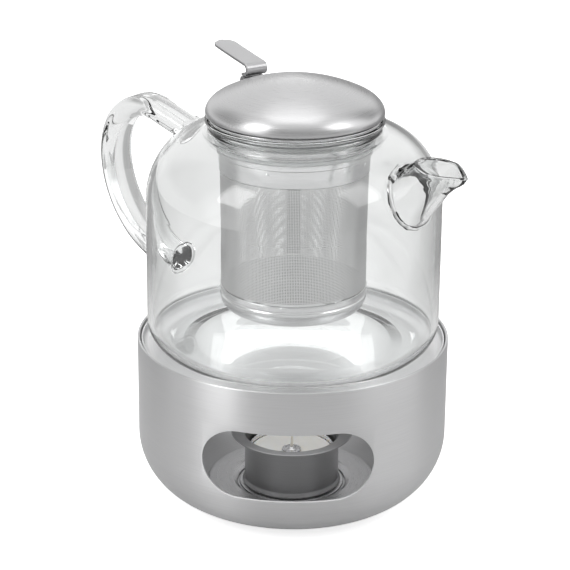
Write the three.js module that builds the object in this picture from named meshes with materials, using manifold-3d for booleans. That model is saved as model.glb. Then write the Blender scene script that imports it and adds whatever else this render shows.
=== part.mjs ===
// Glass teapot on its tealight warmer: a blown glass pot with spout and strap handle, a drop-in
// infuser with a hinged steel lid and thumb lever, and a brushed steel warmer with a tealight
// in its holder. Millimetres, +Z up, origin at the centre of the warmer's foot, spout along +X.

import * as THREE from 'three';
import { mergeVertices } from 'three/addons/utils/BufferGeometryUtils.js';
import Module from 'manifold-3d';

const wasm = await Module();
wasm.setup();

// ---- driving dimensions -------------------------------------------------------------------
const GAP = 0.3;                 // clearance between touching pieces
const DEG = Math.PI / 180;

const WARMER = { r: 70, rim: 76.5, wall: 1.2, corner: 30, base: 1.0, floorHole: 34 };
const BASE_PLATE = { seatR: 23.8, seat: 3.3 };
const FOOT = { r: 37, h: 0.7 };
const WINDOW = { angle: -56.5 * DEG, width: 74.4, height: 31.8, z: 41 };
const PLATE = { r: 68.3, top: 71.7, sheet: 0.8, flange: 3.7, grooves: [29, 21] };
const TRAY = { r: 39, hole: 24.8, slope: 27.2, low: 2.5, top: 5.0, sheet: 0.8 };

const HOLDER = { r: 21.5, lip: 28, seat: 3.6, height: 24, sheet: 0.9 };
const TEALIGHT = { r: 19.2, base: 4.8, height: 15.6, wall: 0.4, wax: 18.2 };
const WICK = { r: 0.7, top: 25.2, clip: 1.2 };

const POT = { r: 65.5, base: 72, wall: 2.4, corner: 13, side: 140, arch: 28, rise: 32 };
const NECK = { bore: 35.1, lip: 177.4, lipR: 39.6, waist: 37.3 };
const SPOUT = { wall: 2.2, hole: 10.6, x: 61, z: 151.5, tilt: 24 * DEG, beak: 0.65 };
// Rings of the spout from inside the pot to the mouth: [back x, back z, front x, front z, half width].
const SPOUT_RINGS = [
  [47.5, 159.7, 57, 136.7, 15.4], [55.9, 163, 65.4, 140, 15.2], [58, 165, 69.8, 144.8, 14.4],
  [60, 167, 73.4, 149.6, 13.4], [61.8, 168.6, 76.8, 154.4, 12.6], [63, 169.7, 80.6, 159.4, 11.9],
  [64, 170.5, 87.9, 165.9, 11.3],
];
const HANDLE = { thick: 9.6, width: 16, round: 4.2 };
// Centre line of the handle: [distance from the axis, height].
const HANDLE_PATH = [
  [50, 158.5], [66, 164.4], [83, 168.6], [96.5, 161.2], [101.4, 146.5], [99.6, 130.5],
  [92, 115], [78, 102.2], [60, 97.4],
];

const INFUSER = { r: 32.8, collar: 33.6, mesh: 32.5, sheet: 0.7, cloth: 0.6, bandLow: 155, bandTop: 162.6 };
const CAP = { top: 101.4, lip: 90.4, hole: 22, corner: 6 };
const SEALS = [166, 169.4, 172.2];
const COLLAR = { low: 163, top: 178.3, flange: 38.2 };
const SEAM = { angle: 125 * DEG, width: 6.5 };

// The lid is a cap of a sphere out to its shoulder, then a quarter of an ellipse down to its rim.
const LID = { r: 39.3, rim: 179.3, crown: 195, bend: 75, shoulder: 33, sheet: 1.0 };
const LID_EDGE = { r: 18.84, z: 179.8, rr: 20.46, rz: 10.46, from: 46.2 };
const LINER = { r: 37.5, low: 181.2, high: 181.8 };
const NOTCH = { width: 12, out: 60, low: 170, high: 200 };
const HINGE = { angle: 157.5 * DEG, rho: 36, z: 185.3, pin: 1.1, barrel: 2.4, half: 3.5, ear: 1.1 };
const LEVER = { width: 10.6, thick: 1.2, end: 36.5, tip: 64, rise: 3.7, foldR: 2.4, foldX: 34.6, foldZ: 191.2 };

const FINE = 48;                 // facets round the large turned pieces
const MEDIUM = 36;
const COARSE = 28;

// ---- materials ----------------------------------------------------------------------------
const finish = (color, roughness, metalness, opacity = 1) => () =>
  new THREE.MeshStandardMaterial({ color, roughness, metalness, opacity, transparent: opacity < 1 });
const steel = finish(0xc9cbcd, 0.32, 1);
const darkSteel = finish(0x8d9093, 0.38, 1);
const glass = finish(0xf2f6f6, 0.02, 0, 0.3);
const aluminium = finish(0xd8dadc, 0.3, 1);
const rubber = finish(0x4a4b4d, 0.8, 0);
const clearSilicone = finish(0xd9dcdc, 0.4, 0);
const paraffin = finish(0xf1efe8, 0.5, 0);
const cotton = finish(0xe6e0cf, 0.9, 0);

// ---- geometry helpers ---------------------------------------------------------------------
const teapot = new THREE.Group();
teapot.name = 'glass_teapot';

// Points of an elliptical arc in the (radius, height) plane.
function arc(cr, cz, rr, rz, from, to, steps) {
  return Array.from({ length: steps + 1 }, (_, i) => {
    const t = (from + ((to - from) * i) / steps) * DEG;
    return [cr + rr * Math.cos(t), cz + rz * Math.sin(t)];
  });
}

// Welds the shared vertices, drops collapsed triangles and turns the faces outward.
function closed(geometry) {
  const bare = geometry.clone();
  bare.deleteAttribute('normal');
  bare.deleteAttribute('uv');
  const welded = mergeVertices(bare, 1e-4);
  const position = welded.attributes.position;
  const index = welded.index.array;
  const kept = [];
  const [a, b, c] = [new THREE.Vector3(), new THREE.Vector3(), new THREE.Vector3()];
  let volume = 0;
  for (let i = 0; i < index.length; i += 3) {
    const [p, q, r] = [index[i], index[i + 1], index[i + 2]];
    if (p === q || q === r || r === p) continue;
    kept.push(p, q, r);
    a.fromBufferAttribute(position, p);
    b.fromBufferAttribute(position, q);
    c.fromBufferAttribute(position, r);
    volume += a.dot(b.cross(c));
  }
  if (volume < 0) kept.reverse();
  welded.setIndex(kept);
  return welded;
}

function toSolid(geometry) {
  const mesh = closed(geometry);
  return new wasm.Manifold(new wasm.Mesh({
    numProp: 3,
    vertProperties: new Float32Array(mesh.attributes.position.array),
    triVerts: new Uint32Array(mesh.index.array),
  }));
}

function fromSolid(solid) {
  const mesh = solid.getMesh();
  const geometry = new THREE.BufferGeometry();
  geometry.setAttribute('position', new THREE.BufferAttribute(new Float32Array(mesh.vertProperties), 3));
  geometry.setIndex(Array.from(mesh.triVerts));
  return geometry;
}

// A body turned about the Z axis from [radius, height] points that close on the axis or on themselves.
function turned(points, facets, closeLoop = false) {
  const loop = closeLoop ? [...points, points[0]] : points;
  const profile = loop.map(([r, z]) => new THREE.Vector2(Math.max(r, 0), z));
  return new THREE.LatheGeometry(profile, facets).rotateX(Math.PI / 2);
}

const outline = (points) => new THREE.Shape(points.map(([x, y]) => new THREE.Vector2(x, y)));

// Extrudes a (radial, height) outline by a width centred on the radial plane at the given angle.
function radialSlab(points, width, angle, shift = 0) {
  return new THREE.ExtrudeGeometry(outline(points), { depth: width, bevelEnabled: false })
    .translate(0, 0, -width / 2 + shift)
    .rotateX(Math.PI / 2)
    .rotateZ(angle);
}

// A cylinder lying along the tangent at the hinge.
function hingeBar(radius, length, facets) {
  return new THREE.CylinderGeometry(radius, radius, length, facets)
    .translate(HINGE.rho, 0, HINGE.z)
    .rotateZ(HINGE.angle);
}

function place(name, geometry, material) {
  const mesh = new THREE.Mesh(closed(geometry), material());
  mesh.name = name;
  teapot.add(mesh);
}

// ---- warmer -------------------------------------------------------------------------------
function footPad() {
  const { r, h } = FOOT;
  place('foot_pad', turned([[0, 0], [r - 0.2, 0], [r, 0.2], [r, h], [0, h]], MEDIUM), rubber);
}

function windowCutter() {
  const end = WINDOW.height / 2;
  const straight = WINDOW.width / 2 - end;
  const shape = new THREE.Shape();
  shape.absarc(straight, 0, end, -Math.PI / 2, Math.PI / 2, false);
  shape.absarc(-straight, 0, end, Math.PI / 2, 1.5 * Math.PI, false);
  return new THREE.ExtrudeGeometry(shape, { depth: WARMER.r, bevelEnabled: false, curveSegments: 10 })
    .rotateX(Math.PI / 2)
    .rotateZ(WINDOW.angle + Math.PI / 2)
    .translate(Math.cos(WINDOW.angle) * WARMER.corner, Math.sin(WINDOW.angle) * WARMER.corner, WINDOW.z);
}

function warmerShell() {
  const flat = WARMER.r - WARMER.corner;
  const centre = WARMER.base + WARMER.corner;
  const hem = WARMER.wall / 2;
  const profile = [
    [WARMER.floorHole, WARMER.base],
    ...arc(flat, centre, WARMER.corner, WARMER.corner, -90, 0, 6),
    ...arc(WARMER.r - hem, WARMER.rim - hem, hem, hem, 0, 180, 2),
    ...arc(flat, centre, WARMER.corner - WARMER.wall, WARMER.corner - WARMER.wall, 0, -90, 6),
    [WARMER.floorHole, WARMER.base + WARMER.wall],
  ];
  const wall = toSolid(turned(profile, FINE, true));
  place('warmer_shell', fromSolid(wall.subtract(toSolid(windowCutter()))), steel);
}

// The disc that closes the shell's foot, with a raised seat for the tealight holder.
function basePlate() {
  const { base, wall, floorHole } = WARMER;
  const { seatR, seat } = BASE_PLATE;
  const r = floorHole - GAP;
  const top = base + wall;
  const profile = [[0, base], [r, base], [r, top], [seatR, top], [seatR, seat], [0, seat]];
  place('base_plate', turned(profile, MEDIUM), steel);
}

// The pressed heat plate that closes the warmer and carries the pot inside its rim.
function heatPlate() {
  const { r, top, sheet, flange, grooves } = PLATE;
  const pressed = grooves.flatMap((g) => [[g + 1, top], [g, top - 0.4], [g - 1, top]]);
  const profile = [
    [0, top - sheet], [r - 1.2, top - sheet], [r, top + 0.4],
    [r, top + flange], [r - sheet, top + flange],
    [r - sheet, top + 1], [r - 1.8, top],
    ...pressed,
    [0, top],
  ];
  place('heat_plate', turned(profile, FINE), steel);
}

// A pressed ring round the holder that keeps it centred.
function floorTray() {
  const { r, hole, slope, low, top, sheet } = TRAY;
  const profile = [
    [hole, low], [hole + 0.5, low], [slope + 0.5, top - sheet], [r - 2, top - sheet], [r - 0.6, low],
    [r, low], [r, low + 0.5], [r - 1.2, top], [slope, top], [hole, low + 0.5],
  ];
  place('floor_tray', turned(profile, MEDIUM, true), steel);
}

// ---- tealight and its holder --------------------------------------------------------------
function tealightHolder() {
  const { r, lip, seat, height, sheet } = HOLDER;
  const top = seat + height;
  const inner = r - sheet;
  const profile = [
    [inner, seat], [r + 0.8, seat], [r + 1, seat + 0.6], [r, seat + 2], [r, top - 2.2],
    [r + 0.6, top - 1.4], [lip - 0.3, top - 0.4], [lip, top], [lip - 0.4, top + 0.3],
    [r + 0.2, top - 0.5], [inner, top - 1.8],
  ];
  place('tealight_holder', turned(profile, MEDIUM, true), darkSteel);
  const baseR = inner - GAP;
  const base = [[0, seat], [baseR, seat], [baseR, seat + sheet], [0, seat + sheet]];
  place('holder_base', turned(base, MEDIUM), darkSteel);
}

function tealight() {
  const { r, base, height, wall, wax } = TEALIGHT;
  const rim = base + height;
  place('tealight_case', turned([
    [0, base], [r - 0.6, base], [r, base + 0.6], [r, rim - 0.5], [r + 0.3, rim], [r - wall, rim],
    [r - wall, base + wall], [0, base + wall],
  ], COARSE), aluminium);
  const inner = r - wall - GAP;
  place('tealight_wax', turned([
    [0, base + wall + GAP], [inner, base + wall + GAP], [inner, wax + 0.5], [inner - 1.5, wax], [0, wax],
  ], COARSE), paraffin);
  const clip = wax + GAP;
  const clipTop = clip + WICK.clip;
  place('wick_clip', turned([
    [0, clip], [4.5, clip], [4.5, clip + 0.3], [1.6, clip + 0.5], [1.3, clipTop], [0, clipTop],
  ], 16), aluminium);
  const foot = clipTop + GAP;
  place('wick', turned([
    [0, foot], [WICK.r, foot], [WICK.r * 0.8, WICK.top - 0.6], [0, WICK.top],
  ], 10), cotton);
}

// ---- glass pot ----------------------------------------------------------------------------
// Outer skin of the pot from the foot to the lip, grown by a clearance.
function potSkin(grow = 0) {
  const { r, base, corner, side, arch, rise } = POT;
  const { lip, lipR, waist } = NECK;
  return [
    ...arc(r - corner, base + corner, corner + grow, corner + grow, -90, 0, 4),
    ...arc(r - arch, side, arch + grow, rise + grow, 0, 86, 7),
    [waist + 0.3 + grow, lip - 4.6], [waist + grow, lip - 3.4], [waist + 0.9 + grow, lip - 2.2],
    [lipR + grow, lip - 1],
  ];
}

function potFilled(grow) {
  return toSolid(turned([[0, POT.base - grow], ...potSkin(grow), [0, NECK.lip - 1]], FINE));
}

function glassBody() {
  const { r, base, wall, corner, side, arch, rise } = POT;
  const { bore, lip, lipR } = NECK;
  const thicker = wall + 0.4;
  const profile = [
    [0, base + 0.8], [46, base + 0.8], [49, base],
    ...potSkin(),
    [lipR - 0.3, lip - 0.3], [lipR - 1.2, lip], [lipR - 2.2, lip - 0.6],
    [bore + 0.4, lip - 3.6], [bore, lip - 5], [bore, lip - 7.6], [bore + 1.2, lip - 8.4],
    ...arc(r - arch, side, arch - wall, rise - thicker, 84, 0, 6),
    ...arc(r - corner, base + corner, corner - wall, corner - thicker, 0, -90, 3),
    [0, base + thicker],
  ];
  const hole = new THREE.CylinderGeometry(SPOUT.hole, SPOUT.hole, 24, 24)
    .rotateZ(-Math.PI / 2)
    .rotateY(-SPOUT.tilt)
    .translate(SPOUT.x, 0, SPOUT.z);
  place('glass_body', fromSolid(toSolid(turned(profile, FINE)).subtract(toSolid(hole))), glass);
}

// One ring of the spout, inset for the channel; towards the mouth its front narrows to a beak.
function spoutRing([backX, backZ, frontX, frontZ, half], inset, beak) {
  const length = Math.hypot(frontX - backX, frontZ - backZ);
  const [ux, uz] = [(frontX - backX) / length, (frontZ - backZ) / length];
  const reach = length / 2 - inset;
  const [cx, cz] = [(backX + frontX) / 2, (backZ + frontZ) / 2];
  const sides = 20;
  return Array.from({ length: sides }, (_, i) => {
    const t = (2 * Math.PI * i) / sides;
    const ahead = Math.cos(t);
    const across = Math.sin(t) * (half - inset) * (1 - beak * Math.max(ahead, 0) ** 1.3);
    return [cx + ux * reach * ahead, across, cz + uz * reach * ahead];
  });
}

// Joins equal slices into one closed body.
function lofted(slices) {
  const n = slices[0].length;
  const positions = slices.flat(2);
  const index = [];
  slices.slice(1).forEach((_, row) => {
    for (let i = 0; i < n; i += 1) {
      const [a, b] = [row * n + i, row * n + ((i + 1) % n)];
      index.push(a, b, b + n, a, b + n, a + n);
    }
  });
  const last = (slices.length - 1) * n;
  for (let i = 1; i < n - 1; i += 1) index.push(0, i + 1, i, last, last + i, last + i + 1);
  const geometry = new THREE.BufferGeometry();
  geometry.setAttribute('position', new THREE.BufferAttribute(new Float32Array(positions), 3));
  geometry.setIndex(index);
  return geometry;
}

function spoutLoft(rings, inset) {
  const beak = (i) => SPOUT.beak * (i / (rings.length - 1)) ** 2;
  return toSolid(lofted(rings.map((ring, i) => spoutRing(ring, inset, beak(i)))));
}

function glassSpout() {
  // The channel starts deeper inside the pot and runs out past the mouth.
  const moved = ([backX, backZ, frontX, frontZ, half], along, rise) =>
    [backX + along, backZ + rise, frontX + along, frontZ + rise, half];
  const first = SPOUT_RINGS[0];
  const mouth = SPOUT_RINGS[SPOUT_RINGS.length - 1];
  const channel = [moved(first, -2, -0.8), ...SPOUT_RINGS.slice(1, -1), moved(mouth, 0.1, 0.5)];
  const solid = spoutLoft(SPOUT_RINGS, 0).subtract(spoutLoft(channel, SPOUT.wall));
  place('glass_spout', fromSolid(solid.subtract(potFilled(GAP))), glass);
}

function glassHandle() {
  const { thick, width, round } = HANDLE;
  const [t, w] = [thick / 2, width / 2];
  const section = new THREE.Shape();
  section.absarc(w - round, t - round, round, 0, Math.PI / 2, false);
  section.absarc(-w + round, t - round, round, Math.PI / 2, Math.PI, false);
  section.absarc(-w + round, -t + round, round, Math.PI, 1.5 * Math.PI, false);
  section.absarc(w - round, -t + round, round, 1.5 * Math.PI, 2 * Math.PI, false);
  const points = HANDLE_PATH.map(([r, z]) => new THREE.Vector3(-r, 0, z));
  const path = new THREE.CatmullRomCurve3(points, false, 'centripetal');
  const strap = new THREE.ExtrudeGeometry(section, {
    steps: 26, extrudePath: path, bevelEnabled: false, curveSegments: 2,
  });
  place('glass_handle', fromSolid(toSolid(strap).subtract(potFilled(GAP))), glass);
}

// ---- infuser ------------------------------------------------------------------------------
function infuserCollar() {
  const { collar: r, sheet } = INFUSER;
  const { low, top, flange } = COLLAR;
  place('infuser_collar', turned([
    [r, low], [r, top - 4.2], [r + 2.6, top - 0.9], [flange, top - 0.6], [flange, top],
    [r + 2, top], [r - sheet, top - 3.6], [r - sheet, low],
  ], MEDIUM, true), steel);
  const [inner, outer] = [r + GAP, NECK.bore - GAP];
  SEALS.forEach((z, i) => place(`seal_ring_${i + 1}`, turned([
    [inner, z - 0.9], [outer, z - 0.3], [outer, z + 0.3], [inner, z + 0.9]], MEDIUM, true), clearSilicone));
}

function ring(outer, inner, low, high) {
  return turned([[outer, low], [outer, high], [inner, high], [inner, low]], MEDIUM, true);
}

function infuserBasket() {
  const { r, mesh, sheet, cloth, bandLow, bandTop } = INFUSER;
  place('infuser_top_band', ring(r, r - sheet, bandLow, bandTop), steel);
  place('infuser_mesh', ring(mesh, mesh - cloth, CAP.top + GAP, bandLow - GAP), darkSteel);
  const [floorR, floorLow] = [mesh - 1, CAP.top + 0.5];
  const floorTop = floorLow + cloth;
  place('infuser_mesh_floor', turned([
    [0, floorLow], [floorR, floorLow], [floorR, floorTop], [0, floorTop],
  ], MEDIUM), darkSteel);
  const [seamLow, seamTop] = [floorTop + GAP, bandLow - 1];
  const seam = new THREE.BoxGeometry(0.5, SEAM.width, seamTop - seamLow)
    .translate(mesh - 1.3, 0, (seamTop + seamLow) / 2)
    .rotateZ(SEAM.angle);
  place('infuser_seam', seam, steel);
}

// The solid foot of the infuser, open in the middle with a turned-in lip.
function infuserCap() {
  const { r, sheet } = INFUSER;
  const { top, lip, hole, corner } = CAP;
  const centre = top - 4.6;
  place('infuser_base_cap', turned([
    [r, top], [r - sheet, top],
    ...arc(r - corner, centre, corner - sheet, 5.4, 0, -70, 3),
    [hole + 0.6, lip + 1.2], [hole, lip + 0.4], [hole + 0.6, lip - 0.2],
    ...arc(r - corner, centre, corner, 6.4, -80, 0, 4),
  ], MEDIUM, true), steel);
}

// ---- hinge and lid ------------------------------------------------------------------------
function hingeBracket() {
  const { rho, z, half, ear, angle, pin } = HINGE;
  const foot = COLLAR.top + GAP;
  const [near, far, top] = [rho - 3.4, rho + 1.8, foot + 0.7];
  const width = 2 * (half + GAP + ear);
  const leaf = radialSlab([[near, foot], [far, foot], [far, top], [near, top]], width, angle);
  const cheek = [[rho - 2, foot], [far, foot], ...arc(rho, z, 2.6, 2.6, -20, 200, 8)];
  const offset = half + GAP + ear / 2;
  const solid = [-offset, offset].reduce(
    (sum, shift) => sum.add(toSolid(radialSlab(cheek, ear, angle, shift))), toSolid(leaf));
  place('hinge_bracket', fromSolid(solid.subtract(toSolid(hingeBar(pin + GAP, 30, 12)))), steel);
  place('hinge_pin', hingeBar(pin, width + 1, 12), steel);
}

// Outer face of the lid's crown at a radius.
const crown = (r) => LID.crown - LID.bend + Math.sqrt(LID.bend ** 2 - r ** 2);

// A notch for the hinge, from a distance behind the axis outwards.
function lidNotch(from) {
  const { width, out, low, high } = NOTCH;
  return toSolid(radialSlab([[from, low], [out, low], [out, high], [from, high]], width, HINGE.angle));
}

function lid() {
  const { r, rim, sheet, shoulder } = LID;
  const edge = LID_EDGE;
  const radii = [0, 0.25, 0.5, 0.75].map((k) => shoulder * k);
  const profile = [
    ...radii.map((x) => [x, crown(x) - sheet]),
    ...arc(edge.r, edge.z, edge.rr - sheet, edge.rz - sheet, edge.from, 0, 3),
    [r - sheet, rim], [r - 0.2, rim], [r, rim + 0.2],
    ...arc(edge.r, edge.z, edge.rr, edge.rz, 0, edge.from, 4),
    ...radii.reverse().map((x) => [x, crown(x)]),
  ];
  place('lid_shell', fromSolid(toSolid(turned(profile, FINE)).subtract(lidNotch(shoulder))), steel);
  const { r: linerR, low, high } = LINER;
  const disc = turned([[0, low], [linerR, low], [linerR, high], [0, high]], MEDIUM);
  place('lid_liner', fromSolid(toSolid(disc).subtract(lidNotch(shoulder - 0.4))), steel);
}

// Barrel of the hinge on the lid's side, with the short leaf that reaches the lid.
function lidKnuckle() {
  const { rho, z, half, barrel, pin, angle } = HINGE;
  const [near, far, low, high] = [LID.shoulder + GAP, rho - 1, z + 0.4, z + 1.6];
  const leaf = radialSlab([[near, low], [far, low], [far, high], [near, high]], 2 * half, angle);
  const solid = toSolid(hingeBar(barrel, 2 * half, 16)).add(toSolid(leaf));
  place('lid_knuckle', fromSolid(solid.subtract(toSolid(hingeBar(pin + GAP, 30, 12)))), steel);
}

// The thumb lever: a strip folded back over itself above the hinge, ending in a round tip.
function thumbLever() {
  const { width, thick, end, tip, rise, foldR, foldX, foldZ } = LEVER;
  const fold = arc(foldX, foldZ, foldR, foldR, 270, 90, 6);
  const centre = [[end, foldZ - foldR], ...fold, [tip, foldZ + foldR + rise]];
  const side = (sign) => centre.map(([x, z], i) => {
    const [x0, z0] = centre[Math.max(i - 1, 0)];
    const [x1, z1] = centre[Math.min(i + 1, centre.length - 1)];
    const length = Math.hypot(x1 - x0, z1 - z0);
    return [x - (sign * thick * (z1 - z0)) / 2 / length, z + (sign * thick * (x1 - x0)) / 2 / length];
  });
  const strip = toSolid(radialSlab([...side(1), ...side(-1).reverse()], width, HINGE.angle));
  // The plan of the strip: square at the fold and round at the tip.
  const plan = new THREE.Shape();
  const [root, half] = [foldX - 2 * foldR - thick, width / 2];
  plan.moveTo(root, -half);
  plan.lineTo(tip - half, -half);
  plan.absarc(tip - half, 0, half, -Math.PI / 2, Math.PI / 2, false);
  plan.lineTo(root, half);
  const trim = new THREE.ExtrudeGeometry(plan, { depth: 20, bevelEnabled: false, curveSegments: 6 })
    .translate(0, 0, foldZ - 10)
    .rotateZ(HINGE.angle);
  place('thumb_lever', fromSolid(strip.intersect(toSolid(trim))), steel);
}

footPad();
warmerShell();
basePlate();
heatPlate();
floorTray();
tealightHolder();
tealight();
glassBody();
glassSpout();
glassHandle();
infuserCollar();
infuserBasket();
infuserCap();
hingeBracket();
lid();
lidKnuckle();
thumbLever();

export default teapot;
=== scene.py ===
"""Looks for the glass teapot on its tealight warmer.

Lengths are millimetres in the object's constants and outlines, and metres in the meshes and the studio.
"""
import math

import bmesh
import bpy
import numpy as np
from mathutils import Matrix, Vector, noise

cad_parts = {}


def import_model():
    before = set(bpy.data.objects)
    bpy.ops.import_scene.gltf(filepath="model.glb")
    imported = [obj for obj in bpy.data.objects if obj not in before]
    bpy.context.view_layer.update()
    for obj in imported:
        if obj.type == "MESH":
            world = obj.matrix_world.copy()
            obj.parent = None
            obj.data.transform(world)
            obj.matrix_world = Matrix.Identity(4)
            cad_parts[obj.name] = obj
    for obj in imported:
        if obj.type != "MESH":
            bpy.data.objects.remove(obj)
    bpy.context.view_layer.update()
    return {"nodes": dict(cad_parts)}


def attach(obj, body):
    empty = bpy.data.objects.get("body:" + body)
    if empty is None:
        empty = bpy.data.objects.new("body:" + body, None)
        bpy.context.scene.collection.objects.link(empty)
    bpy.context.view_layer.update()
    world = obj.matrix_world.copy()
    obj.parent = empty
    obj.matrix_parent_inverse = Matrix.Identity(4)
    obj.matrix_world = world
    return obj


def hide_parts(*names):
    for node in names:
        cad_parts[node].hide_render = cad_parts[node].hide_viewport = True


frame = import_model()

MM = 0.001

# ---- driving sizes, shared with the CAD where it has the piece -------------------------------
SHELL_R, SHELL_RIM, SHELL_WALL, SHELL_CORNER = 70.0, 76.5, 1.2, 30.0
SHELL_BASE, SHELL_HOLE = 1.0, 34.0
WINDOW_ANGLE, WINDOW_WIDTH, WINDOW_HEIGHT, WINDOW_Z = math.radians(-56.5), 74.4, 31.8, 41.0
PLATE_R, PLATE_TOP = 68.3, 71.7
HOLDER_R, HOLDER_LIP, HOLDER_SEAT, HOLDER_TOP = 21.5, 28.0, 3.6, 27.6
POT_R, POT_BASE, POT_SIDE, POT_ARCH, POT_RISE = 65.5, 72.0, 140.0, 28.0, 32.0
POT_WALL, POT_CORNER, NECK_BORE = 2.4, 13.0, 35.1
BASKET_R, MESH_R, CAP_TOP, BAND_LOW, BAND_TOP = 32.8, 32.5, 101.4, 155.0, 162.6
COLLAR_R, COLLAR_TOP = 33.6, 178.3
SEAM_ANGLE = math.radians(125)
MESH_THICK, FLOOR_Z, SEAM_WIDTH, SEAM_R = 0.12, 101.9, 6.4, 31.3
SEAL_R, SEAL_REACH, SEAL_HEIGHTS = 33.9, 34.8, (166, 169.4, 172.2)
WELD_DOT, BAND_DOT_Z, CAP_DOT_Z = (0.3, 1.1, 1.1), 160.3, 99.9
BAND_DOTS, CAP_DOTS = (-75.4, 12, 104.6, -168), (-63.2, 116.8)
LID_R, LID_RIM, LID_CROWN, LID_BEND, LID_NOTCH = 39.3, 179.3, 195.0, 75.0, 33.0
LID_EDGE_REACH, LID_EDGE_RISE, LID_EDGE_Z, LID_EDGE_END = 20.46, 10.46, 179.8, 46.2
LINER_R, LINER_LOW, LINER_TOP, LINER_NOTCH = 37.7, 181.2, 181.8, 32.6
HINGE_ANGLE = math.radians(157.5)
LEVER_WIDTH, LEVER_THICK = 10.6, 1.12
LEVER_FOOT, LEVER_FOLD, LEVER_FOLD_R = (36.5, 188.8), (34.6, 191.2), 2.4
LEVER_TONGUE = [(38, 194.0), (42, 194.45), (46, 194.95), (52, 195.7), (58, 196.5), (64, 197.25)]
WICK_LOW, WICK_HEIGHT, WICK_RADIUS, WICK_LEAN = 20.0, 5.1, 0.62, 0.5

# The spout is a loft of slanted ovals: its front edge runs along the keel, its back edge between the backs.
SPOUT_WALL, SPOUT_LENGTH, SPOUT_NOSE = 2.2, 30, 0.65
KEEL_HEIGHTS = (139.5, 144.0, 148.0, 152.5, 157.2, 160.4, 163.0, 165.9)
KEEL_REACHES = (65.5, 68.5, 71.5, 75.0, 78.5, 82.0, 86.0, 87.9)
SPOUT_BACKS = ((55.5, 164.2), (64.0, 170.5))
SPOUT_SHARES, SPOUT_HALVES = (0, 0.15, 0.5, 1), (15.6, 14.6, 12.6, 11.3)
SPOUT_RIM = [(0.0, 0.25), (0.35, 0.42), (0.8, 0.5)]

# The handle's middle line, as (distance from the axis, height) points.
HANDLE_LINE = [(50, 158.5), (58, 161.5), (66, 164.4), (75, 167.4), (83, 168.6), (90.5, 166.4),
               (96.5, 161.2), (100, 154), (101.4, 146.5), (101.2, 138.5), (99.6, 130.5),
               (96.5, 122.5), (92, 115), (86, 108), (78, 102.2), (70, 99), (60, 97.4)]
HANDLE_THICK, HANDLE_WIDTH, HANDLE_ROUND = 4.8, 8.0, 4.2
HANDLE_FOOT_Z, HANDLE_FOOT_HALF, HANDLE_FOOT_RISE = 98.2, 8.2, 5.6
BEAD_WIDTH, BEAD_FLATTENING, BEAD_SIDES, BEAD_LUMPS = 1.5, 0.62, 12, 0.35
# Melted swellings: name, centre, half sizes and tilt.
WELD_BLOBS = [("blob_top", (-59.5, 0, 161.2), (6, 8.6, 5.4), 0.5),
              ("blob_spout", (57, -8.7, 162.1), (2.6, 3.0, 1.9), 0.6)]

# ---- camera: it is aimed a little left of and above its target, by two slopes ----------------------
CAMERA_AZIMUTH, CAMERA_ELEVATION, CAMERA_DISTANCE = math.radians(35), math.radians(22.3), 1.0
CAMERA_TARGET_Z, CAMERA_LEFT, CAMERA_UP, CAMERA_ROLL = 0.07, 0.003759, 0.027174, math.radians(0.5)
CAMERA_LENS, CAMERA_SENSOR = 139.4526, 36

# ---- studio levels: (degrees round from the camera's side, level), right positive ------------
LOW_WALL = [(-180, 0.25), (-170, 0.25), (-160, 0.50), (-75, 0.50), (-66, 1.0), (-46, 1.0),
            (-36, 0.27), (68, 0.27), (90, 0.60), (125, 0.60), (145, 0.25), (180, 0.12)]
MIDDLE_WALL = [(-180, 0.55), (-145, 0.50), (-130, 0.26), (-85, 0.26), (-66, 0.9), (-46, 0.9),
               (-34, 0.27), (58, 0.27), (76, 0.70), (102, 0.70), (116, 0.25), (135, 0.22),
               (150, 0.52), (180, 0.55)]
LOW_WALL_END, MIDDLE_WALL_END = (0.14, 0.30), (0.66, 0.86)     # sines of elevation, from and to
CEILING, WORLD_STRENGTH = 0.5, 2.0
# The floor's level, its level in reflections, and its glow to the camera and through glass.
FLOOR_WHITE, FLOOR_MIRRORED, FLOOR_GLOW, FLOOR_THROUGH = 0.92, 0.62, 0.7, 0.12
# The painted flag shade's darkness, where it starts from the axis, and its near and far sides in degrees
# from behind.
FLAG_SHADE_DEPTH, FLAG_REACH, FLAG_NEAR, FLAG_FAR = 0.55, (0.22, 0.34), (16, 24), (80, 95)
# Lamps on the axis that face down: name, height, size and power.
HIDDEN_LAMPS = [("chamber_lamp", 0.0700, (0.09, 0.09), 0.035), ("pot_lamp", 0.0865, (0.075, 0.06), 0.009)]
# Softboxes: name, degrees to the camera's right, elevation, distance, size and power.
SOFTBOX_TARGET_Z = 0.09
SOFTBOXES = [("softbox_left", -56, 42, 1.5, (0.5, 0.7), 4),
             ("softbox_right", 66, 42, 1.5, (0.6, 0.7), 3),
             ("softbox_top", 180, 82, 1.4, (0.8, 0.8), 2),
             ("softbox_back", 180, 22.3, 1.6, (0.20, 0.065), 0.10)]

# ---- brush lines' noise: waves round the axis per radian, and per metre along and across the lines ----
BRUSH_ROUND, BRUSH_ALONG, BRUSH_ACROSS = 2.2, 60.0, 4200.0


# ---- shader helpers ------------------------------------------------------------------------
def new_material(name):
    material = bpy.data.materials.new(name)
    material.use_nodes = True
    tree = material.node_tree
    tree.nodes.clear()
    output = tree.nodes.new("ShaderNodeOutputMaterial")
    return material, tree, output


def node(tree, kind, **values):
    """A new node with its inputs set by name."""
    made = tree.nodes.new(kind)
    for key, value in values.items():
        made.inputs[key.replace("_", " ")].default_value = value
    return made


def math_node(tree, operation, a, b=0.0):
    made = tree.nodes.new("ShaderNodeMath")
    made.operation = operation
    for socket, value in zip(made.inputs, (a, b)):
        if isinstance(value, (int, float)):
            socket.default_value = value
        else:
            tree.links.new(value, socket)
    return made.outputs[0]


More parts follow.
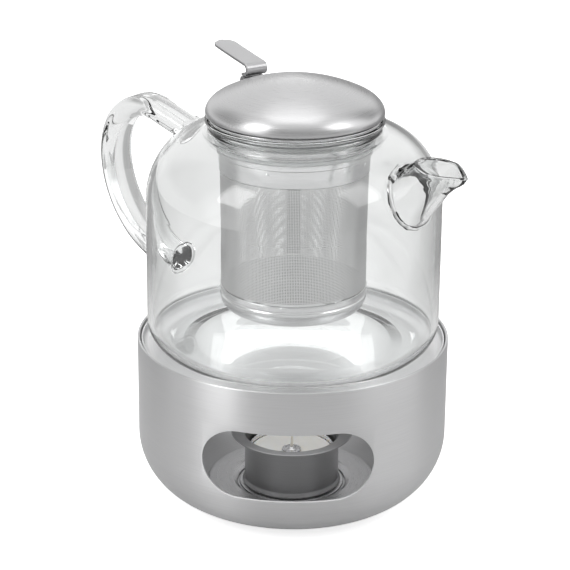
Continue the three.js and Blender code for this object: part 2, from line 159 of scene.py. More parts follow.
def map_range(tree, value, low, high, to_low, to_high):
    made = tree.nodes.new("ShaderNodeMapRange")
    tree.links.new(value, made.inputs["Value"])
    for name, number in (("From Min", low), ("From Max", high), ("To Min", to_low), ("To Max", to_high)):
        made.inputs[name].default_value = number
    return made.outputs["Result"]


def principled(tree, output, **values):
    shader = node(tree, "ShaderNodeBsdfPrincipled", **values)
    tree.links.new(shader.outputs[0], output.inputs["Surface"])
    return shader


def mixed(tree, output, factor, first, second):
    """Sends a mix of two shaders to the output: the first at factor 0, the second at factor 1."""
    mix = tree.nodes.new("ShaderNodeMixShader")
    tree.links.new(factor, mix.inputs[0])
    tree.links.new(first.outputs[0], mix.inputs[1])
    tree.links.new(second.outputs[0], mix.inputs[2])
    tree.links.new(mix.outputs[0], output.inputs["Surface"])


def bumped(tree, shader, height, strength, distance):
    bump = node(tree, "ShaderNodeBump", Strength=strength, Distance=distance)
    tree.links.new(height, bump.inputs["Height"])
    tree.links.new(bump.outputs[0], shader.inputs["Normal"])


def object_point(tree):
    return tree.nodes.new("ShaderNodeTexCoord").outputs["Object"]


def polar(tree):
    """Sockets of angle, radius and height of the point, in radians and metres."""
    xyz = tree.nodes.new("ShaderNodeSeparateXYZ")
    tree.links.new(object_point(tree), xyz.inputs[0])
    x, y, z = xyz.outputs
    angle = math_node(tree, "ARCTAN2", y, x)
    radius = math_node(tree, "SQRT", math_node(tree, "ADD", math_node(tree, "MULTIPLY", x, x),
                                               math_node(tree, "MULTIPLY", y, y)))
    return angle, radius, z


def fine_noise(tree, vector, scale, detail, roughness=0.5):
    texture = node(tree, "ShaderNodeTexNoise", Scale=scale, Detail=detail, Roughness=roughness)
    tree.links.new(vector, texture.inputs["Vector"])
    return texture.outputs["Fac"]


def shades(tree, value, colour, start, end, darker, lighter):
    """Darker to lighter shades of a colour as the value goes from start to end."""
    ramp = tree.nodes.new("ShaderNodeValToRGB")
    for element, position, share in zip(ramp.color_ramp.elements, (start, end), (darker, lighter)):
        element.position = position
        element.color = (*[min(c * share, 1) for c in colour], 1)
    tree.links.new(value, ramp.inputs[0])
    return ramp.outputs[0]


def brushed_steel(name, colour, roughness, turned=True, anisotropy=0.6, along=0.0, depth=0.06):
    """Steel with fine brush lines: round the axis when turned, else along a level direction."""
    material, tree, output = new_material(name)
    shader = principled(tree, output, Metallic=1.0, Anisotropic=anisotropy)
    if turned:
        angle, radius, z = polar(tree)
        point = tree.nodes.new("ShaderNodeCombineXYZ")
        tree.links.new(math_node(tree, "MULTIPLY", angle, BRUSH_ROUND), point.inputs[0])
        tree.links.new(math_node(tree, "MULTIPLY", radius, BRUSH_ACROSS), point.inputs[1])
        tree.links.new(math_node(tree, "MULTIPLY", z, BRUSH_ACROSS), point.inputs[2])
        tangent = tree.nodes.new("ShaderNodeTangent")
        tangent.direction_type, tangent.axis = "RADIAL", "Z"
        tree.links.new(tangent.outputs[0], shader.inputs["Tangent"])
        shader.inputs["Anisotropic Rotation"].default_value = 0.25
    else:
        turn = node(tree, "ShaderNodeMapping", Rotation=(0, 0, -along))
        tree.links.new(object_point(tree), turn.inputs["Vector"])
        point = tree.nodes.new("ShaderNodeVectorMath")
        point.operation = "MULTIPLY"
        point.inputs[1].default_value = (BRUSH_ALONG, BRUSH_ACROSS, BRUSH_ACROSS)
        tree.links.new(turn.outputs[0], point.inputs[0])
    lines = fine_noise(tree, point.outputs[0], 1.0, 3.0, 0.6)
    cloud = fine_noise(tree, object_point(tree), 28.0, 4.0)
    rough = math_node(tree, "ADD", map_range(tree, lines, 0.3, 0.7, roughness - 0.05, roughness + 0.06),
                      map_range(tree, cloud, 0.3, 0.7, -0.015, 0.015))
    tree.links.new(rough, shader.inputs["Roughness"])
    tree.links.new(shades(tree, lines, colour, 0.25, 0.75, 0.93, 1.05), shader.inputs["Base Color"])
    bumped(tree, shader, lines, depth, 0.00002)
    return material


def clear_glass(name, ior=1.47, tint=(0.985, 0.992, 0.99), shadow=0.93):
    """Glass that bends light, and lets the lamps' light through to what stands behind it."""
    material, tree, output = new_material(name)
    shader = node(tree, "ShaderNodeBsdfPrincipled", Base_Color=(*tint, 1), Roughness=0.0, IOR=ior,
                  Transmission_Weight=1.0)
    clear = node(tree, "ShaderNodeBsdfTransparent", Color=(shadow, shadow, shadow, 1))
    path = tree.nodes.new("ShaderNodeLightPath")
    mixed(tree, output, path.outputs["Is Shadow Ray"], shader, clear)
    return material


def woven_mesh(name, level, open_share, flat=False, pitch=0.0007):
    """Fine wire cloth: metal threads over open squares, in angle and height or level on a disc."""
    material, tree, output = new_material(name)
    if flat:
        xyz = tree.nodes.new("ShaderNodeSeparateXYZ")
        tree.links.new(object_point(tree), xyz.inputs[0])
        across, along = xyz.outputs[0], xyz.outputs[1]
    else:
        angle, _, along = polar(tree)
        across = math_node(tree, "MULTIPLY", angle, MESH_R * MM)
    waves = []
    for value in (across, along):
        phase = math_node(tree, "MULTIPLY", value, 2 * math.pi / pitch)
        waves.append(map_range(tree, math_node(tree, "SINE", phase), -1, 1, 0, 1))
    thread = math_node(tree, "MAXIMUM", waves[0], waves[1])
    solid = map_range(tree, thread, open_share - 0.12, open_share + 0.12, 0.0, 1.0)
    shader = node(tree, "ShaderNodeBsdfPrincipled", Base_Color=(level, level, level, 1), Metallic=1.0)
    tree.links.new(map_range(tree, thread, 0, 1, 0.5, 0.34), shader.inputs["Roughness"])
    bumped(tree, shader, thread, 0.4, 0.00008)
    mixed(tree, output, solid, tree.nodes.new("ShaderNodeBsdfTransparent"), shader)
    return material


def speckled(name, colour, roughness, scale, bump_depth, metallic=0.0, subsurface=0.0, spread=0.08):
    """A plain finish with fine noise in colour, roughness and surface."""
    material, tree, output = new_material(name)
    shader = principled(tree, output, Metallic=metallic, Subsurface_Weight=subsurface)
    shader.inputs["Subsurface Radius"].default_value = (0.004, 0.003, 0.002)
    specks = fine_noise(tree, object_point(tree), scale, 5.0)
    tone = shades(tree, specks, colour, 0.3, 0.7, 1 - spread, 1 + spread)
    rough = map_range(tree, specks, 0.3, 0.7, roughness - 0.05, roughness + 0.05)
    tree.links.new(tone, shader.inputs["Base Color"])
    tree.links.new(rough, shader.inputs["Roughness"])
    bumped(tree, shader, specks, 0.3, bump_depth)
    return material


STEEL = brushed_steel("shell_steel", (0.66, 0.66, 0.665), 0.40, anisotropy=0.9)
LID_STEEL = brushed_steel("lid_steel", (0.55, 0.55, 0.555), 0.30, anisotropy=0.45)
INNER_STEEL = brushed_steel("inner_steel", (0.72, 0.72, 0.725), 0.30, anisotropy=0.4)
PLATE_STEEL = brushed_steel("plate_steel", (0.80, 0.80, 0.805), 0.46, anisotropy=0.3)
DARK_STEEL = brushed_steel("holder_steel", (0.33, 0.33, 0.335), 0.36, anisotropy=0.7)
BASKET_STEEL = brushed_steel("basket_steel", (0.72, 0.72, 0.725), 0.20, anisotropy=0.3)
LEVER_STEEL = brushed_steel("lever_steel", (0.46, 0.46, 0.465), 0.36, turned=False, anisotropy=0.3,
                            along=HINGE_ANGLE)
GLASS = clear_glass("pot_glass")
MESH = woven_mesh("wire_cloth", 0.785, 0.62)
MESH_FLOOR = woven_mesh("wire_cloth_floor", 0.36, 0.25, flat=True)
FOIL = speckled("foil", (0.80, 0.80, 0.81), 0.28, 900.0, 0.00004, metallic=1.0, spread=0.03)
WAX = speckled("wax", (0.66, 0.655, 0.63), 0.42, 160.0, 0.0002, subsurface=0.4, spread=0.03)
COTTON = speckled("cotton", (0.78, 0.74, 0.66), 0.85, 2600.0, 0.0001)
RUBBER = speckled("rubber", (0.055, 0.055, 0.058), 0.62, 1500.0, 0.00005)
SILICONE = speckled("silicone", (0.62, 0.63, 0.63), 0.35, 700.0, 0.00003, spread=0.03)


# ---- mesh helpers --------------------------------------------------------------------------
def rounded(points, steps=5):
    """(radius, height) points from (radius, height[, about the corner's radius]) corners, left open."""
    out = []
    for i, corner in enumerate(points):
        here = np.array(corner[:2], float)
        blend = corner[2] if len(corner) > 2 else 0.0
        if blend <= 0 or i in (0, len(points) - 1):
            out.append(tuple(here))
            continue
        before, after = np.array(points[i - 1][:2], float), np.array(points[i + 1][:2], float)
        a, b = before - here, after - here
        la, lb = np.linalg.norm(a), np.linalg.norm(b)
        half = math.acos(np.clip(a @ b / la / lb, -1, 1)) / 2
        reach = min(blend / math.tan(half), la * 0.49, lb * 0.49)
        start, end = here + a / la * reach, here + b / lb * reach
        for k in range(steps + 1):
            t = k / steps
            out.append(tuple((1 - t) ** 2 * start + 2 * t * (1 - t) * here + t * t * end))
    return out


def arc(cr, cz, rr, rz, start, end, steps):
    angles = np.radians(np.linspace(start, end, steps + 1))
    return [(cr + rr * math.cos(t), cz + rz * math.sin(t)) for t in angles]


def make_object(name, mesh, material):
    made = bpy.data.objects.new(name, mesh)
    bpy.context.scene.collection.objects.link(made)
    mesh.materials.clear()
    mesh.materials.append(material)
    return made


def shade(made, angle=32):
    mesh = made.data
    mesh.polygons.foreach_set("use_smooth", [True] * len(mesh.polygons))
    mesh.set_sharp_from_angle(angle=math.radians(angle))


def finished_mesh(name, build):
    """A mesh from a bmesh, with its faces pointing out."""
    mesh = bpy.data.meshes.new(name)
    bmesh.ops.recalc_face_normals(build, faces=build.faces)
    build.to_mesh(mesh)
    build.free()
    return mesh


def lathe_mesh(name, profile, segments, loop=False):
    """A turned mesh from (radius, height) points: it closes on the axis, or on itself when loop is set."""
    points = [(max(r, 0.0) * MM, z * MM) for r, z in profile]
    build = bmesh.new()
    rings = []
    for r, z in points:
        if r < 1e-7:
            rings.append([build.verts.new((0, 0, z))])
        else:
            turns = (2 * math.pi * k / segments for k in range(segments))
            rings.append([build.verts.new((r * math.cos(t), r * math.sin(t), z)) for t in turns])
    pairs = list(zip(rings, rings[1:])) + ([(rings[-1], rings[0])] if loop else [])
    for low, high in pairs:
        for k in range(segments):
            n = (k + 1) % segments
            if len(low) == 1 and len(high) == 1:
                continue
            if len(low) == 1:
                build.faces.new((low[0], high[n], high[k]))
            elif len(high) == 1:
                build.faces.new((low[k], low[n], high[0]))
            else:
                build.faces.new((low[k], low[n], high[n], high[k]))
    return finished_mesh(name, build)


def turned(name, profile, material, segments=160, loop=False):
    made = make_object(name, lathe_mesh(name, profile, segments, loop), material)
    shade(made)
    return made


def prism(name, outline, low, high):
    """A closed body from an (x, y) outline, in metres, between two heights."""
    build = bmesh.new()
    bottom = [build.verts.new((x, y, low)) for x, y in outline]
    top = [build.verts.new((x, y, high)) for x, y in outline]
    build.faces.new(list(reversed(bottom)))
    build.faces.new(top)
    for k in range(len(outline)):
        n = (k + 1) % len(outline)
        build.faces.new((bottom[k], bottom[n], top[n], top[k]))
    return finished_mesh(name, build)


def loft_mesh(name, slices, loop=False):
    """A closed body through equal rings of points, in metres: it has end faces, or joins up as a loop."""
    build = bmesh.new()
    rings = [[build.verts.new(p) for p in ring] for ring in slices]
    count = len(rings[0])
    for low, high in zip(rings, rings[1:] + (rings[:1] if loop else [])):
        for k in range(count):
            n = (k + 1) % count
            build.faces.new((low[k], low[n], high[n], high[k]))
    if not loop:
        build.faces.new(list(reversed(rings[0])))
        build.faces.new(rings[-1])
    return finished_mesh(name, build)


def ball(name, radii, detail):
    """An ellipsoid with these half sizes in millimetres."""
    build = bmesh.new()
    bmesh.ops.create_icosphere(build, subdivisions=detail, radius=1.0)
    mesh = finished_mesh(name, build)
    mesh.transform(Matrix.Diagonal((*[r * MM for r in radii], 1)))
    return mesh


def apply_modifiers(made):
    bpy.context.view_layer.update()
    graph = bpy.context.evaluated_depsgraph_get()
    mesh = bpy.data.meshes.new_from_object(made.evaluated_get(graph))
    made.modifiers.clear()
    made.data = mesh


def boolean(made, mesh, operation):
    """Joins or cuts an object with another mesh, and applies it."""
    tool = bpy.data.objects.new("tool", mesh)
    bpy.context.scene.collection.objects.link(tool)
    modifier = made.modifiers.new("boolean", "BOOLEAN")
    modifier.operation, modifier.object, modifier.solver = operation, tool, "MANIFOLD"
    apply_modifiers(made)
    bpy.data.objects.remove(tool)


def bevelled(made, width, segments=3, angle=40):
    modifier = made.modifiers.new("bevel", "BEVEL")
    modifier.width, modifier.segments, modifier.limit_method = width * MM, segments, "ANGLE"
    modifier.angle_limit = math.radians(angle)
    modifier.harden_normals = False
    apply_modifiers(made)
    shade(made, 40)


def turned_frame(angle):
    return Matrix.Rotation(angle, 4, "Z")


def settle(made, body, slot, *nodes):
    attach(made, body)
    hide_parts(*nodes)


# ---- warmer --------------------------------------------------------------------------------
def window_tool():
    end, straight = WINDOW_HEIGHT / 2, WINDOW_WIDTH / 2 - WINDOW_HEIGHT / 2
    right = arc(straight, 0, end, end, -90, 90, 32)
    left = arc(-straight, 0, end, end, 90, 270, 32)
    mesh = prism("window_tool", [(x * MM, y * MM) for x, y in right + left], 0.03, 0.09)
    across = Vector((-math.sin(WINDOW_ANGLE), math.cos(WINDOW_ANGLE), 0))
    out = Vector((math.cos(WINDOW_ANGLE), math.sin(WINDOW_ANGLE), 0))
    place = Matrix((across, Vector((0, 0, 1)), out)).transposed().to_4x4()
    mesh.transform(Matrix.Translation((0, 0, WINDOW_Z * MM)) @ place)
    return mesh


def warmer_shell():
    flat, centre, hem = SHELL_R - SHELL_CORNER, SHELL_BASE + SHELL_CORNER, SHELL_WALL / 2
    profile = [(SHELL_HOLE, SHELL_BASE), (37, SHELL_BASE)]
    profile += arc(flat, centre, SHELL_CORNER, SHELL_CORNER, -90, 0, 28)
    profile += [(SHELL_R, 45), (SHELL_R, 60)]
    profile += arc(SHELL_R - hem, SHELL_RIM - hem, hem, hem, 0, 180, 8)
    profile += [(SHELL_R - SHELL_WALL, 60), (SHELL_R - SHELL_WALL, 45)]
    profile += arc(flat, centre, SHELL_CORNER - SHELL_WALL, SHELL_CORNER - SHELL_WALL, 0, -90, 28)
    profile += [(37, SHELL_BASE + SHELL_WALL), (SHELL_HOLE, SHELL_BASE + SHELL_WALL)]
    made = turned("warmer_body", profile, STEEL, 256, loop=True)
    boolean(made, window_tool(), "DIFFERENCE")
    bevelled(made, 0.32)
    settle(made, "warmer", "brushed_steel", "warmer_shell")


def base_plate():
    top = SHELL_BASE + SHELL_WALL
    profile = rounded([(0, SHELL_BASE), (33.7, SHELL_BASE, 0.2), (33.7, top, 0.2), (23.9, top, 0.3),
                       (23.8, 3.3, 0.3), (0, 3.3)])
    settle(turned("floor_disc", profile, INNER_STEEL, 160), "warmer", "brushed_steel", "base_plate")


def heat_plate():
    r, top, sheet = PLATE_R, PLATE_TOP, 0.8
    grooves = []
    for g in (29, 21):
        grooves += [(g + 1.4, top, 0.8), (g, top - 0.4, 0.8), (g - 1.4, top, 0.8)]
    profile = rounded([
        (0, top - sheet), (r - 0.8, top - sheet, 1.2), (r, top + 0.4, 0.8), (r, top + 3.7, 0.3),
        (r - sheet, top + 3.7, 0.3), (r - sheet, top + 0.6, 1.6), (r - 3, top, 1.0), *grooves, (0, top)])
    plate = turned("heat_plate_pressed", profile, PLATE_STEEL, 200)
    settle(plate, "warmer", "brushed_steel", "heat_plate")


def floor_tray():
    profile = rounded([(31, 4.2), (37, 4.2, 0.8), (38.4, 2.5, 0.3), (39, 2.5, 0.2), (39, 3.0, 0.2),
                       (37.8, 5.0, 1.2), (27.2, 5.0, 0.9), (24.8, 3.0, 0.3), (24.8, 2.5, 0.2),
                       (25.3, 2.5, 0.2), (27.6, 4.2, 0.6), (31, 4.2)])
    tray = turned("floor_tray_pressed", profile[:-1], INNER_STEEL, 160, loop=True)
    settle(tray, "warmer", "brushed_steel", "floor_tray")


def foot_pad():
    grooves = []
    for g in (32, 27, 22):
        grooves += [(g + 0.8, 0), (g + 0.5, 0.3), (g - 0.5, 0.3), (g - 0.8, 0)]
    profile = [(0, 0.7), *rounded([(30, 0.7), (37, 0.7, 0.2), (37, 0, 0.2), (36, 0)])[1:], *grooves, (0, 0)]
    settle(turned("foot_pad_ribbed", profile, RUBBER, 120), "warmer", "foot_rubber", "foot_pad")


# ---- tealight ------------------------------------------------------------------------------
def tealight_holder():
    r, lip, seat, top, sheet = HOLDER_R, HOLDER_LIP, HOLDER_SEAT, HOLDER_TOP, 0.9
    inner = r - sheet
    profile = rounded([
        (r, seat), (r + 0.9, seat, 0.3), (r + 1, seat + 0.7, 0.3), (r, seat + 2.2, 1.5),
        (r, top - 2.2, 1.5), (r + 0.9, top - 1.3, 1.2), (lip - 0.5, top - 0.3, 0.2), (lip, top, 0.3),
        (lip - 0.4, top + 0.3, 0.3), (r + 0.3, top - 0.5, 1.0), (inner, top - 1.9, 1.2),
        (inner, seat, 0.1), (r, seat)])[:-1]
    cup = turned("holder_cup", profile, DARK_STEEL, 160, loop=True)
    settle(cup, "holder", "holder_steel", "tealight_holder")
    disc = rounded([(0, seat), (20.3, seat, 0.2), (20.3, seat + sheet, 0.2), (0, seat + sheet)])
    settle(turned("holder_disc", disc, DARK_STEEL, 120), "holder", "holder_steel", "holder_base")


def tealight():
    case = rounded([(0, 4.8), (18.6, 4.8, 0.5), (19.2, 5.4, 0.5), (19.2, 19.8, 0.4), (19.5, 20.3, 0.15),
                    (19.2, 20.4, 0.1), (18.8, 20.1, 0.2), (18.8, 5.2, 0.2), (0, 5.2)])
    settle(turned("foil_cup", case, FOIL, 140), "tealight", "aluminium_foil", "tealight_case")
    wax = rounded([(0, 5.5), (18.45, 5.5, 0.3), (18.45, 18.6, 0.2), (17.4, 18.1, 1.0), (6, 18.0, 2),
                   (4.6, 17.95), (0, 17.95)])
    settle(turned("wax_fill", wax, WAX, 120), "tealight", "candle_wax", "tealight_wax")
    clip = rounded([(0, 18.5), (4.3, 18.5, 0.1), (4.4, 18.7, 0.1), (1.7, 18.9, 0.3), (1.2, 19.7, 0.2),
                    (0, 19.7)])
    settle(turned("clip_disc", clip, FOIL, 48), "tealight", "aluminium_foil", "wick_clip")


def wick():
    """A braided wick that thins and leans towards its tip."""
    rings, steps, sides = [], 14, 14
    for k in range(steps + 1):
        t = k / steps
        height, lean = WICK_LOW + WICK_HEIGHT * t, WICK_LEAN * t * t
        radius = WICK_RADIUS * (1 - 0.35 * t) * (1 + 0.12 * math.sin(9 * t * math.pi))
        turns = [2 * math.pi * j / sides + 2.2 * t for j in range(sides)]
        rings.append([((radius * math.cos(a) + lean * 0.3) * MM, radius * math.sin(a) * MM, height * MM)
                      for a in turns])
    made = make_object("braided_wick", loft_mesh("braided_wick", rings), COTTON)
    shade(made, 50)
    settle(made, "tealight", "wick_cotton", "wick")


# ---- glass pot -----------------------------------------------------------------------------
def pot_outside():
    r, base, corner = POT_R, POT_BASE, POT_CORNER
    foot = rounded([(0, base + 0.8), (44, base + 0.8, 3), (49.5, base, 2), (r - corner, base)], 6)
    side = arc(r - corner, base + corner, corner, corner, -90, 0, 18)[1:]
    shoulder = arc(r - POT_ARCH, POT_SIDE, POT_ARCH, POT_RISE, 0, 84, 40)
    neck = rounded([(39.9, 171.9), (37.7, 172.3, 2.2), (37.3, 174.2, 2.0), (39.6, 176.2, 1.0),
                    (39.5, 177.2, 0.5), (38.6, 177.4, 0.4), (37.9, 177.2)], 6)
    return foot + side + [(r, 100), (r, 120)] + shoulder + neck


def pot_inside():
    r, wall, corner = POT_R, POT_WALL, POT_CORNER
    neck = rounded([(37.9, 177.2), (37.2, 176.2, 0.8), (35.3, 173.2, 1.5), (NECK_BORE, 169.8, 1.0),
                    (37.0, 169.05)], 6)
    shoulder = arc(r - POT_ARCH, POT_SIDE, POT_ARCH - wall, POT_RISE - wall - 0.4, 84, 0, 40)
    corner_line = arc(r - corner, POT_BASE + corner, corner - wall, corner - wall - 0.4, 0, -90, 16)
    floor = [(48, 74.85), (40, 75.0), (30, 75.1), (20, 75.15), (10, 75.2), (0, 75.2)]
    return neck[1:] + shoulder + [(r - wall, 120), (r - wall, 100)] + corner_line + floor


def spout_ring(share, inset, along=0.0, sides=64):
    """A slanted oval ring of the spout in metres, from its root (share 0) to its mouth (share 1)."""
    back = np.array([np.interp(share, (0, 1), axis) for axis in zip(*SPOUT_BACKS)])
    front_z = np.interp(share, (0, 1), (KEEL_HEIGHTS[0], KEEL_HEIGHTS[-1]))
    front = np.array([np.interp(front_z, KEEL_HEIGHTS, KEEL_REACHES), front_z])
    long_way = (front - back) / np.linalg.norm(front - back)
    reach = np.linalg.norm(front - back) / 2 - inset
    middle = (front + back) / 2 + along * np.array([-long_way[1], long_way[0]])
    half = np.interp(share, SPOUT_SHARES, SPOUT_HALVES) - inset
    nose = SPOUT_NOSE * share ** 2
    ring = []
    for i in range(sides):
        t = 2 * math.pi * i / sides
        ahead = math.cos(t)
        across = math.sin(t) * half * (1 - nose * max(ahead, 0) ** 1.3)
        x, z = middle + long_way * reach * ahead
        ring.append((x * MM, across * MM, z * MM))
    return ring


def deeper(ring, steps):
    """The ring moved back into the pot, about a millimetre per step."""
    return [(x - steps * 0.9 * MM, y, z - steps * 0.42 * MM) for x, y, z in ring]


def spout_outer():
    """The spout's outer skin with a round, fire-polished rim at the mouth."""
    shares = [i / SPOUT_LENGTH for i in range(SPOUT_LENGTH + 1)]
    rings = [deeper(spout_ring(0, 0), 8)] + [spout_ring(share, 0) for share in shares[:-1]]
    rings += [spout_ring(1, inset, rise - 0.5) for inset, rise in SPOUT_RIM]
    return loft_mesh("spout_outer", rings)


def spout_channel():
    """The space inside the spout, opened a little at the rim."""
    shares = [i / SPOUT_LENGTH for i in range(SPOUT_LENGTH)]
    rings = [deeper(spout_ring(0, SPOUT_WALL), 9)] + [spout_ring(share, SPOUT_WALL) for share in shares]
    flare = [(0, -0.6), (0.15, -0.15), (0.6, 0.25), (1.0, 1.0)]
    rings += [spout_ring(1, SPOUT_WALL - wider, rise) for wider, rise in flare]
    return loft_mesh("spout_channel", rings)


def pot_radius(z):
    """Outer radius of the pot's wall on its shoulder."""
    lift = min(max((z - POT_SIDE) / POT_RISE, 0.0), 0.998)
    return POT_R - POT_ARCH + POT_ARCH * math.sqrt(1 - lift * lift)


def weld_bead(name, line, seed):
    """A raised, slightly lumpy bead of melted glass along a closed line of points in millimetres."""
    rings = []
    turns = [2 * math.pi * j / BEAD_SIDES for j in range(BEAD_SIDES)]
    for i, point in enumerate(line):
        here = Vector(point)
        ahead = (Vector(line[(i + 1) % len(line)]) - Vector(line[i - 1])).normalized()
        out = Vector((here.x, here.y, 0)).normalized()
        side = ahead.cross(out).normalized()
        up = side.cross(ahead)
        width = BEAD_WIDTH * (1 + BEAD_LUMPS * noise.noise(here * 0.33 + Vector((seed, 0, 0))))
        height = width * BEAD_FLATTENING
        rings.append([tuple((here + side * width * math.cos(a) + up * height * math.sin(a)) * MM)
                      for a in turns])
    return loft_mesh(name, rings, loop=True)


def spout_bead():
    """The weld round the spout's root, laid on the pot's wall."""
    line = []
    for _, y, z in spout_ring(0.06, -0.5, sides=72):
        y, z = y / MM, z / MM
        line.append((math.sqrt(max(pot_radius(z) ** 2 - y * y, 1.0)) - 0.1, y, z))
    return weld_bead("spout_bead", line, 3.0)


def handle_bead():
    """The weld round the handle's foot, laid on the pot's straight wall."""
    line, count = [], 60
    for i in range(count):
        across, up = math.cos(2 * math.pi * i / count), math.sin(2 * math.pi * i / count)
        y = HANDLE_FOOT_HALF * math.copysign(abs(across) ** 0.7, across)
        line.append((-math.sqrt(POT_R ** 2 - y * y) - 0.1, y, HANDLE_FOOT_Z + HANDLE_FOOT_RISE * up))
    return weld_bead("handle_bead", line, 9.0)


def smooth_line(points, steps):
    """Catmull-Rom points through a list of points."""
    p = [np.array(q, float) for q in points]
    p = [2 * p[0] - p[1], *p, 2 * p[-1] - p[-2]]
    out = []
    for i in range(1, len(p) - 2):
        for k in range(steps):
            t = k / steps
            a, b, c, d = p[i - 1:i + 3]
            out.append(0.5 * (2 * b + (c - a) * t + (2 * a - 5 * b + 4 * c - d) * t * t
                              + (3 * b - a - 3 * c + d) * t ** 3))
    out.append(p[-2])
    return out


def handle_section():
    """Points round the strap's rounded section, across and out, in millimetres."""
    points = []
    aside, above, corner = HANDLE_WIDTH - HANDLE_ROUND, HANDLE_THICK - HANDLE_ROUND, HANDLE_ROUND
    for side, out, start in ((1, 1, 0), (-1, 1, 90), (-1, -1, 180), (1, -1, 270)):
        points += arc(side * aside, out * above, corner, corner, start, start + 90, 8)
    return points


def handle_mesh():
    line = smooth_line(HANDLE_LINE, 5)
    section = handle_section()
    rings = []
    for i, (r, z) in enumerate(line):
        ahead, behind = line[min(i + 1, len(line) - 1)], line[max(i - 1, 0)]
        direction = (ahead - behind) / np.linalg.norm(ahead - behind)
        normal = (-direction[1], direction[0])
        rings.append([(-(r + normal[0] * out) * MM, across * MM, (z + normal[1] * out) * MM)
                      for across, out in section])
    return loft_mesh("handle", rings)


def weld_blob(name, centre, radii, tilt):
    """A melted swelling where glass is joined to the wall."""
    mesh = ball(name, radii, 4)
    mesh.transform(Matrix.Translation([c * MM for c in centre]) @ Matrix.Rotation(tilt, 4, "Y"))
    return mesh


def glass_pot():
    outside, inside = pot_outside(), pot_inside()
    lip_r, lip_z = outside[-1]
    pot = make_object("fused_glass_pot", lathe_mesh("pot_outer", outside + [(0, lip_z)], 256), GLASS)
    for tool in (spout_outer(), handle_mesh(), spout_bead(), handle_bead(),
                 *[weld_blob(*blob) for blob in WELD_BLOBS]):
        boolean(pot, tool, "UNION")
    cavity = [(0, lip_z + 3), (lip_r, lip_z + 3), *inside]
    boolean(pot, lathe_mesh("cavity", cavity, 256), "DIFFERENCE")
    boolean(pot, spout_channel(), "DIFFERENCE")
    shade(pot, 38)
    settle(pot, "pot", "clear_glass", "glass_body", "glass_spout", "glass_handle")


# ---- infuser -------------------------------------------------------------------------------
def infuser_collar():
    r, top = COLLAR_R, COLLAR_TOP
    profile = rounded([
        (r, 163), (r, 164), (r, top - 4.4, 1.5), (r + 2.8, top - 0.8, 1.0), (38.1, top - 0.6, 0.2),
        (38.2, top - 0.3, 0.25), (38.1, top, 0.2), (r + 2.2, top, 1.2), (r - 0.7, top - 3.8, 1.5),
        (r - 0.7, 164), (r - 0.7, 163)], 6)
    collar = turned("collar_funnel", profile, BASKET_STEEL, 200, loop=True)
    settle(collar, "infuser", "brushed_steel", "infuser_collar")


def seal_ribs():
    for i, z in enumerate(SEAL_HEIGHTS, 1):
        outline = rounded([(SEAL_R, z), (SEAL_R, z - 0.9), (SEAL_REACH, z - 0.3, 0.3),
                           (SEAL_REACH, z + 0.3, 0.3), (SEAL_R, z + 0.9), (SEAL_R, z)])[:-1]
        rib = turned(f"seal_rib_{i}", outline, SILICONE, 160, loop=True)
        settle(rib, "infuser", "seal_silicone", f"seal_ring_{i}")


def spot_weld(degrees, z):
    """A small flat dome on the outside of a band, where it is welded to the cloth."""
    turn = math.radians(degrees)
    mesh = ball("spot_weld", WELD_DOT, 3)
    centre = Matrix.Translation((BASKET_R * math.cos(turn) * MM, BASKET_R * math.sin(turn) * MM, z * MM))
    mesh.transform(centre @ turned_frame(turn))
    return mesh


def top_band():
    r = BASKET_R
    outline = rounded([(r, 158), (r, BAND_LOW, 0.15), (r - 0.7, BAND_LOW, 0.15), (r - 0.7, BAND_TOP, 0.15),
                       (r, BAND_TOP, 0.15), (r, 158)])[:-1]
    band = turned("top_band", outline, BASKET_STEEL, 200, loop=True)
    for degrees in BAND_DOTS:
        boolean(band, spot_weld(degrees, BAND_DOT_Z), "UNION")
    shade(band)
    settle(band, "infuser", "brushed_steel", "infuser_top_band")


def wire_cloth():
    outside, inside, low, high = MESH_R, MESH_R - MESH_THICK, CAP_TOP + 0.3, BAND_LOW - 0.3
    wall = [(outside, low), (outside, high), (inside, high), (inside, low)]
    settle(turned("wire_wall", wall, MESH, 200, loop=True), "infuser", "mesh_steel", "infuser_mesh")
    disc = [(0, FLOOR_Z), (31.5, FLOOR_Z), (31.5, FLOOR_Z + MESH_THICK), (0, FLOOR_Z + MESH_THICK)]
    settle(turned("wire_floor", disc, MESH_FLOOR, 160), "infuser", "mesh_steel", "infuser_mesh_floor")


def wall_seam():
    """The strip that closes the cloth's wall, bent along it."""
    outside, inside, low, high, steps = SEAM_R + 0.1, SEAM_R - 0.25, 102.9, 153.9, 8
    rings = []
    for k in range(steps + 1):
        a = SEAM_ANGLE + (k / steps - 0.5) * SEAM_WIDTH / SEAM_R
        rings.append([(r * math.cos(a) * MM, r * math.sin(a) * MM, z * MM)
                      for r, z in ((outside, low), (outside, high), (inside, high), (inside, low))])
    seam = make_object("wall_seam", loft_mesh("wall_seam", rings), DARK_STEEL)
    shade(seam)
    settle(seam, "infuser", "brushed_steel", "infuser_seam")


